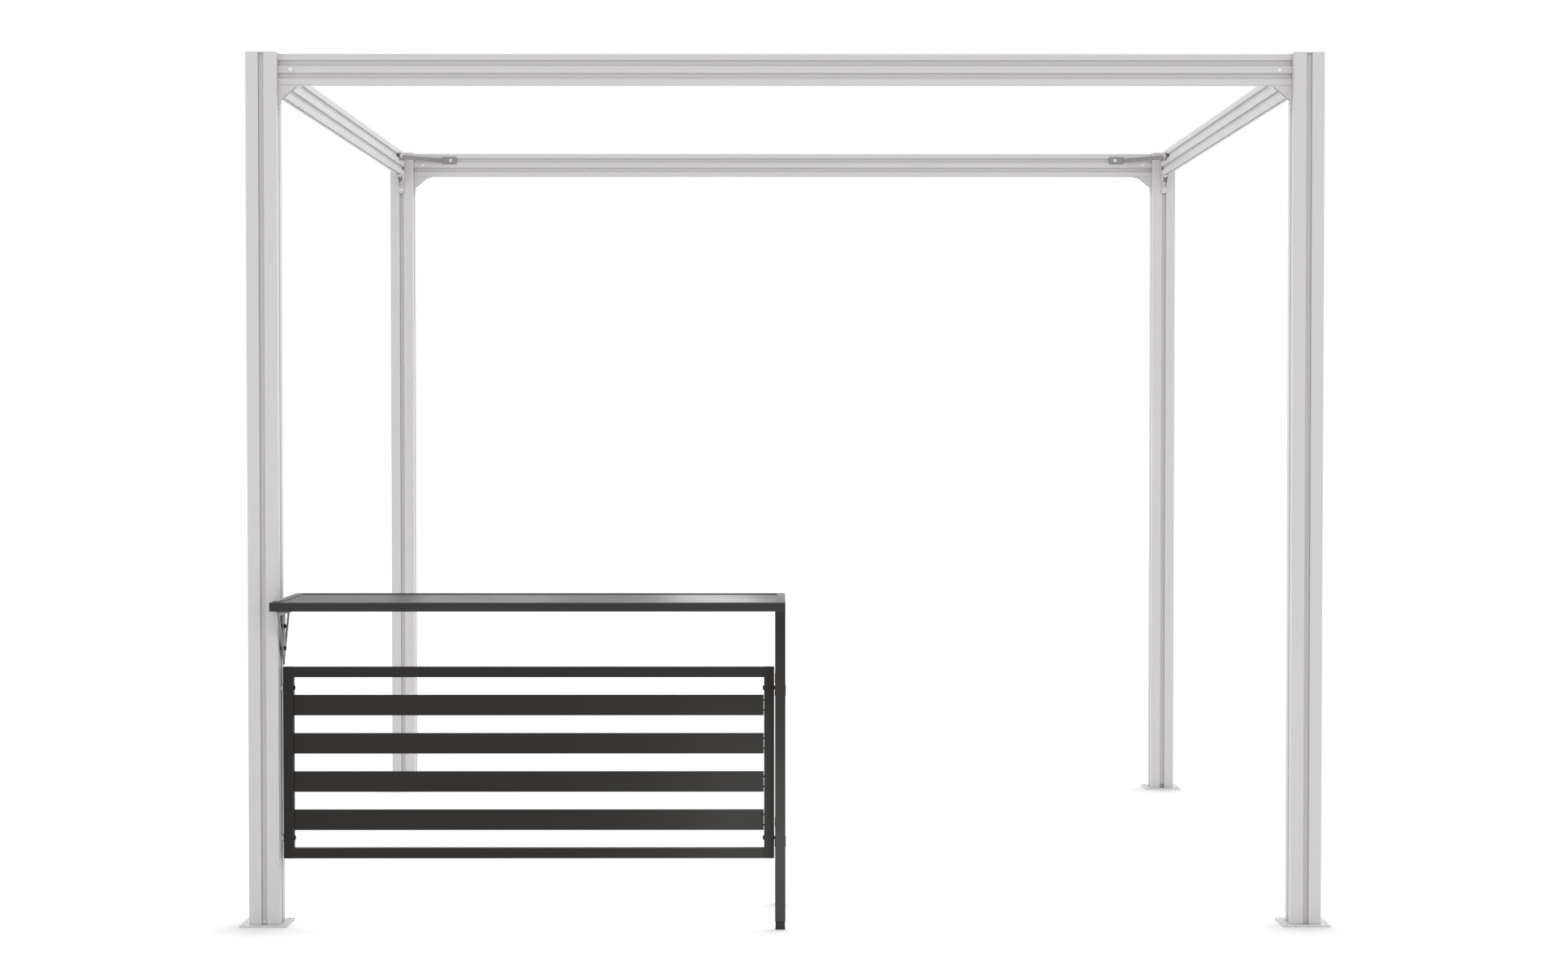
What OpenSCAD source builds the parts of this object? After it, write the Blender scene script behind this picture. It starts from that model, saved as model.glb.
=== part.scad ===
// Bar counter built into the front bay of a free-standing extruded-aluminium pergola frame.
// Millimetres, +Z up. The front of the object faces -Y and the bar stands on its left side.

/* [Pergola frame] */
// Outer width over the posts, left to right
frame_w = 3150; // [2400:10:4200]
// Outer depth over the posts, front to back
frame_d = 3150; // [1200:10:4200]
// Height from the ground to the top of the post caps
frame_h = 2560; // [2000:10:3000]

/* [Posts] */
// Side of the square post
post_size = 90; // [70:1:120]
// Wall thickness of the post extrusion
post_wall = 2.5; // [2:0.1:3.5]
// Radius of the outer corners of the post
post_corner_r = 3; // [1:0.5:6]
// Width of the fastening slot in each face of the post
post_slot_w = 16.5; // [12:0.5:20]
// Depth of the fastening slot in each face of the post
post_slot_d = 10; // [6:0.5:14]
// Thickness of the cap on the post
cap_t = 3; // [2:0.5:8]
// Diameter of the outlet at the foot of two of the posts
outlet_d = 9; // [6:0.5:12]
// Height of the middle of the outlet above the base plate
outlet_z = 7; // [7:0.5:20]

/* [Beams] */
// Height of the beam
beam_h = 90; // [80:1:120]
// Thickness of the beam
beam_t = 25; // [22:1:40]
// Wall thickness of the beam extrusion
beam_wall = 2; // [1.6:0.1:2.5]
// Width of the two slots along each face
beam_slot_w = 16.5; // [12:0.5:18]
// Depth of the two slots along each face
beam_slot_d = 8; // [5:0.5:8]
// Distance between the centre lines of the two slots
beam_slot_pitch = 37.5; // [32:0.5:44]
// Width of the slot along the underside
under_slot_w = 8; // [5:0.5:9]
// Depth of the slot along the underside
under_slot_d = 6; // [3:0.5:7]
// Diameter of the hole through each end of a beam, between the slots
beam_hole_d = 10; // [6:0.5:12]
// Distance of this hole from the end of the beam
beam_hole_end = 36; // [20:1:60]

/* [Base plates] */
// Side of the square base plate
plate_size = 140; // [136:1:180]
// Thickness of the base plate
plate_t = 4; // [3:0.5:12]
// Distance between neighbouring anchor holes
anchor_pitch = 115; // [112:1:122]
// Diameter of the anchor holes
anchor_d = 10; // [8:0.5:12]
// Radius of the corners of the base plate
plate_corner_r = 5; // [2:0.5:8]

/* [Corner brackets] */
// Length of each leg of a knee bracket
knee_leg = 70; // [66:1:100]
// Width of a knee bracket
knee_w = 23; // [21:0.5:24]
// Thickness of the two legs of a knee bracket
knee_t = 4; // [3:0.5:6]
// Thickness of the triangular cheeks of a knee bracket
knee_cheek_t = 2.5; // [2:0.5:4]
// Reach of the cheeks along the beam
knee_cheek_x = 58; // [40:1:62]
// Reach of the cheeks down the post
knee_cheek_z = 48; // [40:1:62]
// Distance of the first bolt hole from the inner corner of the knee
knee_hole_first = 26; // [22:1:30]
// Distance between the two bolt holes in a leg of the knee
knee_hole_pitch = 29; // [24:1:32]
// Diameter of the bolt holes in knees and straps
bracket_hole_d = 7; // [5:0.5:8.5]
// Distance from the inner corner of the beams to the bend of the diagonal strap
strap_leg = 149; // [110:1:260]
// Height of the diagonal part of the strap
strap_h = 16; // [12:1:24]
// Thickness of the strap
strap_t = 4; // [3:0.5:6]
// Length of the tab at each end of the strap
strap_tab_l = 54; // [36:1:70]
// Height of the tab at each end of the strap
strap_tab_h = 27; // [26:1:34]
// Distance of the bolt hole from the end of the tab
strap_hole_end = 22; // [12:1:24]

/* [Worktop] */
// Length of the worktop along the front of the frame
top_l = 1500; // [900:10:1560]
// Overhang of the worktop in front of the posts
top_front = 65; // [60:1:140]
// Depth of the worktop, front to back
top_d = 460; // [360:5:640]
// Height of the upper face of the worktop above the ground
top_z = 955; // [850:5:1150]
// Height of the rails round the worktop
rail_h = 26; // [22:1:36]
// Width of the rails round the worktop
rail_w = 25; // [22:1:34]
// Wall thickness of the worktop rails
rail_wall = 2; // [1.5:0.1:3]
// Overlap of the worktop past the inner face of the post
top_notch = 15; // [10:1:16]
// Clearance between the notched rail and the post
notch_gap = 0.5; // [0.3:0.1:2]
// Thickness of the inset panel
inset_t = 8; // [6:0.5:12]
// Depth of the inset panel below the top of the rails
inset_drop = 2.5; // [0.5:0.5:3]
// Gap round the inset panel
inset_gap = 0.3; // [0.2:0.1:1]
// Width of the lip that carries the inset panel
lip_w = 12; // [8:1:20]
// Thickness of the lip that carries the inset panel
lip_t = 2.5; // [2:0.5:4]

/* [Bar tubes] */
// Radius of the outer corners of every tube of the bar
tube_corner_r = 1.5; // [0.5:0.1:2]

/* [Bar legs] */
// Side of the square tube of the legs and cross rails
leg_w = 30; // [26:1:40]
// Wall thickness of the legs and cross rails
leg_wall = 2; // [1.5:0.1:3]
// Height of the plastic foot under a leg
foot_h = 25; // [12:1:40]
// How far the foot stands in from the faces of the leg
foot_inset = 0.6; // [0.4:0.1:3]
// Radius of the upright corners of the foot
foot_corner_r = 3; // [1:0.5:5]

/* [Slatted panel] */
// Height of the underside of the panel above the ground
panel_z = 194; // [120:1:260]
// Overall height of the panel
panel_h = 565; // [520:5:640]
// Face width of the panel's rails and stiles
panel_face = 30; // [26:1:40]
// Depth of the panel's rails and stiles
panel_depth = 25; // [24:1:40]
// Wall thickness of the panel's rails and stiles
panel_wall = 1.8; // [1.5:0.1:3]
// Gap between the panel and the post
panel_post_gap = 7; // [2:0.5:10]
// Gap between the panel and the end frame
panel_gap = 2.5; // [1:0.5:6]
// Height of a slat
slat_h = 60; // [40:1:80]
// Thickness of a slat
slat_t = 15; // [10:1:20]
// Wall thickness of a slat
slat_wall = 1.5; // [1.2:0.1:2]
// Gap between the end of a slat and the stile
slat_gap = 1.2; // [0.8:0.1:3]
// Diameter of the pegs that hold a slat between the stiles
peg_d = 5; // [4:0.5:9]
// Distance between the two pegs at the end of a slat
peg_pitch = 30; // [20:1:36]

/* [Bar bracket] */
// Width of the bracket under the worktop
bracket_w = 200; // [160:2:220]
// Height of the bracket below the worktop
bracket_h = 163; // [140:1:190]
// Thickness of the bracket plate
bracket_t = 4; // [3:0.5:6]
// Distance between the bracket plate and the face of the post
bracket_standoff = 6; // [2:0.5:12]
// Width of the two slanting arms of the bracket
bracket_arm_w = 14; // [10:1:18]
// Width of the strip that is bolted to the post
bracket_strip_w = 34; // [28:1:44]
// Height of the band along the top of the bracket
bracket_band_h = 15; // [10:1:24]
// Reach of the flange that carries the worktop
bracket_flange = 35; // [24:1:48]
// Distance of the upper bolt below the worktop
bracket_bolt_first = 50; // [40:1:60]
// Distance between the two bolts
bracket_bolt_pitch = 65; // [40:1:70]

/* [Fasteners] */
// Diameter of the bolts of the bar bracket
bolt_d = 8; // [6:0.5:9]
// Diameter of the heads of these bolts
bolt_head_d = 13; // [12:0.5:15]
// Height of the heads of these bolts
bolt_head_h = 5; // [3:0.5:8]
// Diameter of the screws of the slatted panel
screw_d = 6; // [4:0.5:7]
// Diameter of the button heads of these screws
screw_head_d = 14; // [9:0.5:16]
// Height of the button heads of these screws
screw_head_h = 4; // [2:0.5:6]
// Diameter of the spacer between the panel and the post, which bridges the post's slot
spacer_d = 22; // [21:0.5:24]
// Diameter of the sleeves round the other bolts and screws
sleeve_d = 10; // [9.5:0.5:12]
// Height of the lower screws above the underside of the panel
screw_low = 60; // [45:1:120]
// Height of the upper screws above the underside of the panel
screw_high = 503; // [420:1:515]
// Radial clearance of bolts and screws in their holes
hole_gap = 0.2; // [0.1:0.05:0.5]

/* [Hidden] */
$fn = 48;
// One node for each slat
slat_n = 4;

// Where things stand. The origin is at ground level in the middle of the whole object's outline.
plate_out = (plate_size - post_size) / 2;
front_reach = max(plate_out, top_front);
post_front_y = -(frame_d + plate_out + front_reach) / 2 + front_reach;
mid_y = post_front_y + frame_d / 2;
post_top = frame_h - cap_t;
post_mid = post_size / 2;
post_mid_y = post_front_y + post_mid;
post_inner_x = -frame_w / 2 + post_size;
beam_bottom = post_top - beam_h;
beam_inner = post_mid + beam_t / 2;
span_x = frame_w - 2 * post_size;
span_y = frame_d - 2 * post_size;
slot_upper_z = post_top - (beam_h - beam_slot_pitch) / 2;

// The bar
top_x = post_inner_x - top_notch;
top_end_x = top_x + top_l;
top_y = post_front_y - top_front;
top_under = top_z - rail_h;
inset_z = top_z - inset_drop - inset_t;
leg_x = top_end_x - leg_w;
leg_rear_y = top_y + top_d - leg_w;
panel_x = post_inner_x + panel_post_gap;
panel_l = leg_x - panel_gap - panel_x;
panel_y = post_mid_y - panel_depth / 2;
slat_l = panel_l - 2 * panel_face - 2 * slat_gap;
slat_space = (panel_h - 2 * panel_face - slat_n * slat_h) / (slat_n + 1);
screw_rises = [screw_low, screw_high];
bracket_x = post_inner_x + bracket_standoff;
// The flat on top of a button head, as a share of the head's diameter
head_taper = 0.6;
// Bolts and screws go through the floor of the post's slot and end this far behind it
thread_out = 3;
// How far a cutter reaches past the face that it cuts
over = 1;
eps = 0.01;

alu_grey = "#cccaca";
cap_grey = "#d6d4d3";
anthracite = "#383736";
gloss_dark = "#5a5958";
black = "#141414";
zinc = "#a9a8a6";

module mirror_if(flag, axis) {
    if (flag) mirror(axis) children();
    else children();
}

// Puts a corner piece, modelled at the front left with the post's outer corner at zero, at any corner.
module at_corner(right, rear) {
    translate([0, mid_y, 0])
        mirror_if(right, [1, 0, 0])
            mirror_if(rear, [0, 1, 0])
                translate([-frame_w / 2, -frame_d / 2, 0])
                    children();
}

module rounded_rectangle(w, h, r) {
    square([w, h - 2 * r], center = true);
    square([w - 2 * r, h], center = true);
    for (x = [-1, 1], y = [-1, 1])
        translate([x * (w / 2 - r), y * (h / 2 - r)]) circle(r);
}

// Section of a rectangular tube with rounded outer corners, from zero to w and h.
module tube_outline(w, h) {
    translate([w / 2, h / 2]) rounded_rectangle(w, h, tube_corner_r);
}
module tube_profile(w, h, wall) {
    difference() {
        tube_outline(w, h);
        translate([wall, wall]) square([w - 2 * wall, h - 2 * wall]);
    }
}

// Tubes along each axis, with their lowest corner at zero.
module tube_x(l, depth, h, wall) {
    rotate([90, 0, 90]) linear_extrude(l) tube_profile(depth, h, wall);
}
module tube_y(l, w, h, wall) {
    translate([0, l, 0]) rotate([90, 0, 0]) linear_extrude(l) tube_profile(w, h, wall);
}
module tube_z(l, w, depth, wall) {
    linear_extrude(l) tube_profile(w, depth, wall);
}

// The post extrusion: a hollow square with a U-shaped slot in the middle of each face.
module post_profile() {
    difference() {
        rounded_rectangle(post_size, post_size, post_corner_r);
        difference() {
            square(post_size - 2 * post_wall, center = true);
            for (a = [0:90:270]) rotate(a) post_slot(post_wall);
        }
        for (a = [0:90:270]) rotate(a) post_slot(0);
    }
}
module post_slot(grow) {
    translate([-post_slot_w / 2 - grow, post_mid - post_slot_d - grow])
        square([post_slot_w + 2 * grow, post_slot_d + grow + over]);
}

module post() {
    color(alu_grey)
        translate([post_mid, post_mid, plate_t])
            linear_extrude(post_top - plate_t) post_profile();
}

// Two of the posts have an outlet at the foot, through the floors of the front and rear slots.
module outlet_post() {
    difference() {
        post();
        translate([post_mid, -over, plate_t + outlet_z])
            rotate([-90, 0, 0]) cylinder(h = post_size + 2 * over, d = outlet_d);
    }
}

// The front left post is also drilled for the bar: bolts of the bracket and screws of the panel.
module bar_post() {
    difference() {
        outlet_post();
        for (drop = [bracket_bolt_first, bracket_bolt_first + bracket_bolt_pitch])
            translate([post_mid, post_mid, top_under - drop])
                rotate([0, 90, 0]) cylinder(h = post_size, r = bolt_d / 2 + hole_gap);
        for (rise = screw_rises)
            translate([post_mid, post_mid, panel_z + rise])
                rotate([0, 90, 0]) cylinder(h = post_size, r = screw_d / 2 + hole_gap);
    }
}

module base_plate() {
    color(alu_grey)
        translate([post_mid, post_mid, 0])
            difference() {
                linear_extrude(plate_t) rounded_rectangle(plate_size, plate_size, plate_corner_r);
                for (x = [-1, 1], y = [-1, 1])
                    translate([x * anchor_pitch / 2, y * anchor_pitch / 2, -over])
                        cylinder(h = plate_t + 2 * over, d = anchor_d);
            }
}

module post_cap() {
    color(cap_grey)
        translate([post_mid, post_mid, post_top])
            linear_extrude(cap_t) rounded_rectangle(post_size, post_size, post_corner_r);
}

// The beam extrusion, seen along its length, with two slots in each face and one in the underside.
module beam_profile() {
    difference() {
        square([beam_t, beam_h]);
        difference() {
            translate([beam_wall, beam_wall]) square([beam_t - 2 * beam_wall, beam_h - 2 * beam_wall]);
            beam_slots(beam_wall);
        }
        beam_slots(0);
    }
}
module beam_slots(grow) {
    for (face = [-over, beam_t - beam_slot_d - grow], side = [-1, 1])
        translate([face, beam_h / 2 + side * beam_slot_pitch / 2 - beam_slot_w / 2 - grow])
            square([beam_slot_d + grow + over, beam_slot_w + 2 * grow]);
    translate([beam_t / 2 - under_slot_w / 2 - grow, -over])
        square([under_slot_w + 2 * grow, under_slot_d + grow + over]);
}

// A beam of length l along +X, with its outer face on y = 0 and a hole near each end.
module beam(l) {
    difference() {
        rotate([90, 0, 90]) linear_extrude(l) beam_profile();
        for (x = [beam_hole_end, l - beam_hole_end])
            translate([x, -over, beam_h / 2])
                rotate([-90, 0, 0]) cylinder(h = beam_t + 2 * over, d = beam_hole_d);
    }
}

// Beam across the front, between the two front posts.
module cross_beam() {
    color(alu_grey) translate([post_size, post_mid - beam_t / 2, beam_bottom]) beam(span_x);
}

// Beam down the left side, between the front and rear posts.
module side_beam() {
    color(alu_grey) translate([post_mid + beam_t / 2, post_size, beam_bottom]) rotate(90) beam(span_y);
}

// Flat strap across the corner with a tab at each end, bolted into the upper slots of both beams.
module strap() {
    run = strap_leg + strap_t * sqrt(2);
    color(alu_grey)
        translate([beam_inner, beam_inner, slot_upper_z]) {
            translate([0, 0, -strap_h / 2])
                linear_extrude(strap_h)
                    polygon([[strap_leg, 0], [run, 0], [0, run], [0, strap_leg]]);
            strap_tab();
            mirror([1, -1, 0]) strap_tab();
        }
}
module strap_tab() {
    difference() {
        translate([strap_leg, 0, -strap_tab_h / 2]) cube([strap_tab_l, strap_t, strap_tab_h]);
        translate([strap_leg + strap_tab_l - strap_hole_end, -over, 0])
            rotate([-90, 0, 0]) cylinder(h = strap_t + 2 * over, d = bracket_hole_d);
    }
}

// Cast angle bracket with two triangular cheeks, from its inner corner along +X and down.
module knee() {
    hole_places = [knee_hole_first, knee_hole_first + knee_hole_pitch];
    difference() {
        union() {
            translate([0, -knee_w / 2, -knee_leg]) cube([knee_t, knee_w, knee_leg]);
            translate([0, -knee_w / 2, -knee_t]) cube([knee_leg, knee_w, knee_t]);
            for (y = [-knee_w / 2 + knee_cheek_t, knee_w / 2])
                translate([0, y, 0]) rotate([90, 0, 0])
                    linear_extrude(knee_cheek_t) polygon([[0, 0], [knee_cheek_x, 0], [0, -knee_cheek_z]]);
        }
        for (d = hole_places) {
            translate([-over, 0, -d]) rotate([0, 90, 0]) cylinder(h = knee_t + 2 * over, d = bracket_hole_d);
            translate([d, 0, -knee_t - over]) cylinder(h = knee_t + 2 * over, d = bracket_hole_d);
        }
    }
}

// The two knees of one corner, one under each beam.
module knees() {
    color(alu_grey) {
        translate([post_size, post_mid, beam_bottom]) knee();
        translate([post_mid, post_size, beam_bottom]) rotate(90) mirror([0, 1, 0]) knee();
    }
}

// Worktop rail of length l along +X, with its outer face on y = 0 and mitred ends. The lip faces +Y.
module top_rail(l) {
    difference() {
        rotate([90, 0, 90]) linear_extrude(l)
            union() {
                tube_profile(rail_w, rail_h, rail_wall);
                translate([rail_w - rail_wall, inset_z - top_under - lip_t])
                    square([lip_w + rail_wall, lip_t]);
            }
        mitre_cut();
        translate([l, 0, 0]) mirror([1, 0, 0]) mitre_cut();
    }
}
module mitre_cut() {
    reach = 2 * (rail_w + lip_w);
    translate([0, 0, -over])
        linear_extrude(rail_h + 2 * over) polygon([[-over, -over], [-over, reach], [reach, reach]]);
}

module worktop_rail_front() {
    color(anthracite) translate([top_x, top_y, top_under]) top_rail(top_l);
}
module worktop_rail_rear() {
    color(anthracite) translate([top_x, top_y + top_d, top_under]) mirror([0, 1, 0]) top_rail(top_l);
}
module worktop_rail_right() {
    color(anthracite) translate([top_end_x, top_y, top_under]) rotate(90) top_rail(top_d);
}

// The left rail is notched round the post, and the notch is closed by walls of its own.
module worktop_rail_left() {
    color(anthracite)
        translate([top_x, top_y, top_under]) {
            difference() {
                mirror([1, 0, 0]) rotate(90) top_rail(top_d);
                notch_box(0);
            }
            intersection() {
                translate([rail_wall, rail_w, 0]) cube([rail_w - 2 * rail_wall, top_d - 2 * rail_w, rail_h]);
                difference() {
                    notch_box(rail_wall);
                    notch_box(0);
                }
            }
        }
}
module notch_box(grow) {
    translate([-over, top_front - notch_gap - grow, -over])
        cube([top_notch + notch_gap + grow + over, post_size + 2 * notch_gap + 2 * grow, rail_h + 2 * over]);
}

module worktop_inset() {
    gap = rail_w + inset_gap;
    color(gloss_dark)
        translate([top_x + gap, top_y + gap, inset_z])
            cube([top_l - 2 * gap, top_d - 2 * gap, inset_t]);
}

// Leg of the end frame, standing on its plastic foot.
module leg(y) {
    color(anthracite)
        translate([leg_x, y, foot_h]) tube_z(top_under - foot_h, leg_w, leg_w, leg_wall);
}
module leg_foot(y) {
    side = leg_w - 2 * foot_inset;
    color(black)
        translate([leg_x + leg_w / 2, y + leg_w / 2, 0])
            linear_extrude(foot_h) rounded_rectangle(side, side, foot_corner_r);
}

// Cross rail between the two legs, drilled for the screw of the slatted panel.
module leg_cross_rail(rise) {
    start = top_y + leg_w;
    color(anthracite)
        difference() {
            translate([leg_x, start, panel_z + rise - leg_w / 2])
                tube_y(leg_rear_y - start, leg_w, leg_w, leg_wall);
            translate([leg_x - over, post_mid_y, panel_z + rise])
                rotate([0, 90, 0]) cylinder(h = leg_w / 2, r = screw_d / 2 + hole_gap);
        }
}

// The slatted panel: two rails between two stiles, with the slats between the stiles.
module panel_stile(x) {
    color(anthracite)
        difference() {
            translate([x, panel_y, panel_z]) tube_z(panel_h, panel_face, panel_depth, panel_wall);
            for (rise = screw_rises)
                translate([x - over, post_mid_y, panel_z + rise])
                    rotate([0, 90, 0]) cylinder(h = panel_face + 2 * over, r = screw_d / 2 + hole_gap);
        }
}
module panel_rail(z) {
    color(anthracite)
        translate([panel_x + panel_face, panel_y, z])
            tube_x(panel_l - 2 * panel_face, panel_depth, panel_face, panel_wall);
}
module slat(i) {
    z = panel_z + panel_face + slat_space * i + slat_h * (i - 1);
    color(anthracite)
        translate([panel_x + panel_face + slat_gap, post_mid_y, z]) {
            translate([0, -slat_t / 2, 0]) tube_x(slat_l, slat_t, slat_h, slat_wall);
            for (x = [-slat_gap, slat_l - slat_wall], side = [-1, 1])
                translate([x, 0, slat_h / 2 + side * peg_pitch / 2])
                    rotate([0, 90, 0]) cylinder(h = slat_gap + slat_wall, d = peg_d);
            for (x = [0, slat_l - slat_wall])
                translate([x, -slat_t / 2, 0])
                    rotate([90, 0, 90]) linear_extrude(slat_wall) tube_outline(slat_t, slat_h);
        }
}

// Triangular bracket beside the inner face of the post, with a flange under the worktop.
module bar_bracket() {
    strip_foot = bracket_h - bracket_h * bracket_strip_w / bracket_w;
    color(zinc)
        translate([bracket_x, post_mid_y, top_under]) {
            translate([0, -bracket_w / 2, -bracket_t]) cube([bracket_flange, bracket_w, bracket_t]);
            difference() {
                rotate([90, 0, 90]) linear_extrude(bracket_t)
                    union() {
                        difference() {
                            bracket_triangle(0);
                            bracket_triangle(bracket_arm_w);
                        }
                        translate([-bracket_strip_w / 2, -strip_foot]) square([bracket_strip_w, strip_foot]);
                        intersection() {
                            bracket_triangle(0);
                            translate([-bracket_w / 2, -bracket_band_h]) square([bracket_w, bracket_band_h]);
                        }
                    }
                for (drop = [bracket_bolt_first, bracket_bolt_first + bracket_bolt_pitch])
                    translate([-over, 0, -drop])
                        rotate([0, 90, 0]) cylinder(h = bracket_t + 2 * over, r = bolt_d / 2 + hole_gap);
            }
        }
}
// Triangle hanging from y = 0, drawn in by the width of the arms.
module bracket_triangle(arm) {
    drop = arm * bracket_h / bracket_w * 2;
    polygon([[-bracket_w / 2 + arm, 0], [bracket_w / 2 - arm, 0], [0, -bracket_h + drop]]);
}

// Each bolt runs in a sleeve from the floor of the post's slot, which holds the bracket off the post.
module bracket_bolts() {
    sleeve = bracket_standoff + post_slot_d;
    shank = bracket_t + sleeve + post_wall + thread_out;
    for (drop = [bracket_bolt_first, bracket_bolt_first + bracket_bolt_pitch])
        translate([bracket_x + bracket_t, post_mid_y, top_under - drop]) {
            rotate([0, 90, 0]) cylinder(h = bolt_head_h, d = bolt_head_d);
            translate([-shank, 0, 0]) rotate([0, 90, 0]) cylinder(h = shank + eps, d = bolt_d);
            translate([-bracket_t - sleeve, 0, 0]) rotate([0, 90, 0]) cylinder(h = sleeve, d = sleeve_d);
        }
}

// Screws through the stiles into the post on the left, with spacers, and the cross rails on the right.
module panel_screws() {
    for (rise = screw_rises) {
        translate([panel_x + panel_face, post_mid_y, panel_z + rise])
            panel_screw(panel_post_gap, post_slot_d + post_wall + thread_out, spacer_d);
        translate([panel_x + panel_l - panel_face, post_mid_y, panel_z + rise])
            mirror([1, 0, 0]) panel_screw(panel_gap, leg_wall + thread_out, sleeve_d);
    }
}
module panel_screw(gap, grip, spacer_d) {
    shank = panel_face + gap + grip;
    rotate([0, 90, 0]) cylinder(h = screw_head_h, d1 = screw_head_d, d2 = screw_head_d * head_taper);
    translate([-shank, 0, 0]) rotate([0, 90, 0]) cylinder(h = shank + eps, d = screw_d);
    translate([-panel_face - gap, 0, 0]) rotate([0, 90, 0]) cylinder(h = gap, d = spacer_d);
}

// All the bolts and screws that hold the bar.
module bar_fasteners() {
    color(black) {
        bracket_bolts();
        panel_screws();
    }
}

at_corner(false, false) bar_post();  // post_front_left
at_corner(true, false) post();  // post_front_right
at_corner(false, true) post();  // post_rear_left
at_corner(true, true) outlet_post();  // post_rear_right
at_corner(false, false) base_plate();  // base_plate_front_left
at_corner(true, false) base_plate();  // base_plate_front_right
at_corner(false, true) base_plate();  // base_plate_rear_left
at_corner(true, true) base_plate();  // base_plate_rear_right
at_corner(false, false) post_cap();  // post_cap_front_left
at_corner(true, false) post_cap();  // post_cap_front_right
at_corner(false, true) post_cap();  // post_cap_rear_left
at_corner(true, true) post_cap();  // post_cap_rear_right
at_corner(false, false) cross_beam();  // beam_front
at_corner(false, true) cross_beam();  // beam_rear
at_corner(false, false) side_beam();  // beam_left
at_corner(true, false) side_beam();  // beam_right
at_corner(false, false) strap();  // strap_front_left
at_corner(true, false) strap();  // strap_front_right
at_corner(false, true) strap();  // strap_rear_left
at_corner(true, true) strap();  // strap_rear_right
at_corner(false, false) knees();  // knees_front_left
at_corner(true, false) knees();  // knees_front_right
at_corner(false, true) knees();  // knees_rear_left
at_corner(true, true) knees();  // knees_rear_right
worktop_rail_front();
worktop_rail_rear();
worktop_rail_left();
worktop_rail_right();
worktop_inset();
leg(top_y);  // leg_front
leg(leg_rear_y);  // leg_rear
leg_foot(top_y);  // leg_foot_front
leg_foot(leg_rear_y);  // leg_foot_rear
leg_cross_rail(screw_high);  // leg_cross_rail_upper
leg_cross_rail(screw_low);  // leg_cross_rail_lower
panel_rail(panel_z + panel_h - panel_face);  // panel_rail_top
panel_rail(panel_z);  // panel_rail_bottom
panel_stile(panel_x);  // panel_stile_left
panel_stile(panel_x + panel_l - panel_face);  // panel_stile_right
slat(1);  // slat_1
slat(2);  // slat_2
slat(3);  // slat_3
slat(4);  // slat_4
bar_bracket();
bar_fasteners();
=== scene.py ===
import math

import bmesh
import bpy
from mathutils import Matrix, Vector


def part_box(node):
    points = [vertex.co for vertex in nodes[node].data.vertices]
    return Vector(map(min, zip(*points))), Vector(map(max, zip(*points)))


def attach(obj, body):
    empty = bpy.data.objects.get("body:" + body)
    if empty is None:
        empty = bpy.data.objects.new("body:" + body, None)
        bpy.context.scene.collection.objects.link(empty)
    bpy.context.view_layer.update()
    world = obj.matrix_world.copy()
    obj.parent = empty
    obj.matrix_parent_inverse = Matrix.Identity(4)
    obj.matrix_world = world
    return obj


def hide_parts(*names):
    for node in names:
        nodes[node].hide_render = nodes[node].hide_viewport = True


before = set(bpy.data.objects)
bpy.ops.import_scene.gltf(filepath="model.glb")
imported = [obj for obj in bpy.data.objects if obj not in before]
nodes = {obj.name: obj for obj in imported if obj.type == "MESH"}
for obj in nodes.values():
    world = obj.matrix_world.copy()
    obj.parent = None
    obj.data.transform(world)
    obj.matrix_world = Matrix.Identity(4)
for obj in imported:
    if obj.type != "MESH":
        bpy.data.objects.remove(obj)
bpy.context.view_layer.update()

# Camera
# The view is level with a standing person's chest, square to the front and tipped down a little, with a
# long lens. The lens, place and angles were worked out from the edges of the posts and the base plates.
LENS_MM = 64.06
SENSOR_MM = 36.0
CAMERA_PLACE = (-0.0257, -9.72, 1.4824)
TIPPED_DOWN = math.radians(1.412)
TURNED_RIGHT = math.radians(0.153)
SEES_TO = 200.0

camera_data = bpy.data.cameras.new("front_camera")
camera_data.lens = LENS_MM
camera_data.sensor_width = SENSOR_MM
camera_data.sensor_fit = "HORIZONTAL"
camera_data.clip_end = SEES_TO
camera = bpy.data.objects.new("front_camera", camera_data)
camera.location = CAMERA_PLACE
camera.rotation_euler = (math.pi / 2 - TIPPED_DOWN, 0.0, -TURNED_RIGHT)
bpy.context.scene.collection.objects.link(camera)
bpy.context.scene.camera = camera

# Posts, base plates and beams
# Hollow aluminium extrusions with fastening slots. The posts are welded to flat base plates. All of it is
# powder-coated pale grey: a satin skin with a faint orange peel and soft edges. A painted shade darkens the
# slots and corners where little open sky reaches them.
CORNERS = ("front_left", "front_right", "rear_left", "rear_right")
FRAME_GREY, FRAME_GREY_WARM = "#d3d1d2", "#cecccc"
# A darker grey painted into the slots and corners as shade.
SLOT_PAINTED_SHADE = "#a3a1a1"
# Real orange peel is about 1 mm across, and is drawn 3 mm across here so that it shows.
PEEL_MM, PEEL_DEPTH_MM = 3.0, 0.04
EDGE_MM = 1.0
PAINTED_SHADE_REACH_MM = 2.5
# The share of open sky at which the painted shade in a slot or corner is full, and at which it ends.
PAINTED_SHADE_FULL, PAINTED_SHADE_ENDS = 0.5, 0.95
# A coating drifts in tone and gloss over about half a metre.
PATCH_MM, PATCH_DETAIL = 455, 3.0
SHEEN_SPREAD = 0.05
NOISE_LOW, NOISE_HIGH = 0.3, 0.7
FINE_DETAIL = 1.0
SHADER_SAMPLES = 6


def linear(hex_colour):
    """The linear colour, with full alpha, of an sRGB hex value."""
    channels = [int(hex_colour[i : i + 2], 16) / 255 for i in (1, 3, 5)]
    return [c / 12.92 if c <= 0.04045 else ((c + 0.055) / 1.055) ** 2.4 for c in channels] + [1.0]


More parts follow.
